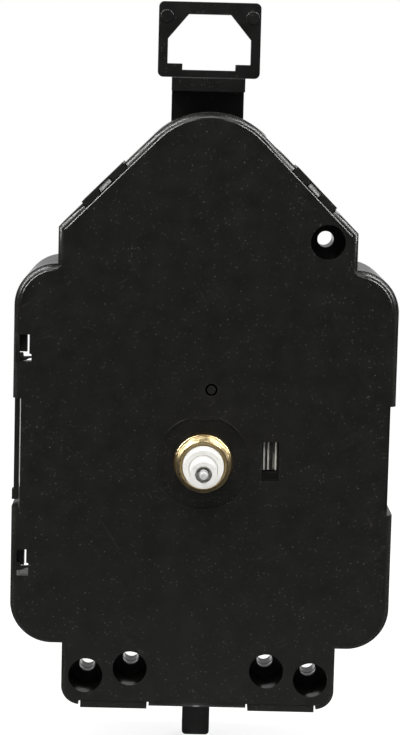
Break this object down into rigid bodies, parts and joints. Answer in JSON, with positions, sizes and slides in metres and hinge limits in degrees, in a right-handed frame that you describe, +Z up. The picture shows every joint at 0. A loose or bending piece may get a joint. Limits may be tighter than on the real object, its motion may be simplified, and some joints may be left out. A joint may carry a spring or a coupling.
{
  "type": "pendulum clock movement",
  "caption": "House-shaped battery quartz clock movement with a hand shaft, a driven pendulum hook, counterbored fixing holes and a hanging loop.",
  "frame": {"origin": "on the hand shaft's axis, in the plane of the case's front face, which rests on the dial", "axes": "+X to the right seen from the dial side, +Y back from the dial into the movement, +Z up towards the hanging loop"},
  "size_m": [0.0562, 0.0321, 0.1122],
  "materials": {
    "black_plastic": "moulded, satin gloss",
    "white_plastic": "moulded, satin",
    "brass": "turned, bright",
    "steel": "bright",
    "magnet": "ground, dark grey",
    "copper_wire": "enamelled wire",
    "board": "solder resist",
    "resin": "poured resin"
  },
  "bodies": {
    "case": {"front_case": "black_plastic", "rear_case": "black_plastic", "hanger": "black_plastic", "dial_bush": "brass", "middle_plate": "white_plastic", "train_cover": "white_plastic", "stator": "steel", "coil_core": "steel", "coil_bobbin": "white_plastic", "motor_coil": "copper_wire", "circuit_board": "board", "chip_cover": "resin", "quartz_can": "steel", "battery_plus": "steel", "battery_spring": "steel", "drive_bobbin": "white_plastic", "drive_coil": "copper_wire", "pendulum_pin": "steel"},
    "second": {"second_wheel": "white_plastic", "second_shaft": "steel"},
    "intermediate": {"intermediate_wheel": "white_plastic"},
    "rotor": {"rotor_pinion": "white_plastic", "rotor_magnet": "magnet"},
    "third": {"third_wheel": "white_plastic"},
    "minute": {"minute_wheel": "white_plastic"},
    "transfer": {"transfer_wheel": "white_plastic"},
    "hour": {"hour_wheel": "white_plastic"},
    "setting": {"setting_stem": "white_plastic", "setting_knob": "black_plastic"},
    "pendulum": {"pendulum_arm": "black_plastic", "pendulum_magnet": "magnet"}
  },
  "joints": [
    {"name": "second_turn", "type": "hinge", "parent": "case", "child": "second", "pos_m": [0, 0.009, 0], "axis": [0, 1, 0], "continuous": true},
    {"name": "intermediate_turn", "type": "hinge", "parent": "case", "child": "intermediate", "pos_m": [0.00508, 0.0095, -0.00356], "axis": [0, 1, 0], "continuous": true},
    {"name": "rotor_turn", "type": "hinge", "parent": "case", "child": "rotor", "pos_m": [0.01053, 0.0095, -0.00554], "axis": [0, 1, 0], "continuous": true},
    {"name": "third_turn", "type": "hinge", "parent": "case", "child": "third", "pos_m": [-0.00688, 0.007, -0.00482], "axis": [0, 1, 0], "continuous": true},
    {"name": "minute_turn", "type": "hinge", "parent": "case", "child": "minute", "pos_m": [0, 0.005, 0], "axis": [0, 1, 0], "continuous": true},
    {"name": "transfer_turn", "type": "hinge", "parent": "case", "child": "transfer", "pos_m": [-0.00745, 0.004, 0.0043], "axis": [0, 1, 0], "continuous": true},
    {"name": "hour_turn", "type": "hinge", "parent": "case", "child": "hour", "pos_m": [0, 0.003, 0], "axis": [0, 1, 0], "continuous": true},
    {"name": "setting_turn", "type": "hinge", "parent": "case", "child": "setting", "pos_m": [-0.01512, 0.018, 0.00151], "axis": [0, 1, 0], "continuous": true},
    {"name": "pendulum_swing", "type": "hinge", "parent": "case", "child": "pendulum", "pos_m": [0, 0.016, 0.0045], "axis": [0, 1, 0], "range_deg": [-6.5, 6.5]}
  ],
  "couplings": [
    {"joint": "intermediate_turn", "follows": "second_turn", "ratio": -5},
    {"joint": "rotor_turn", "follows": "second_turn", "ratio": 30},
    {"joint": "third_turn", "follows": "second_turn", "ratio": -0.13333},
    {"joint": "minute_turn", "follows": "second_turn", "ratio": 0.016667},
    {"joint": "transfer_turn", "follows": "second_turn", "ratio": -0.0055556},
    {"joint": "hour_turn", "follows": "second_turn", "ratio": 0.0013889},
    {"joint": "setting_turn", "follows": "second_turn", "ratio": 0.020833}
  ]
}
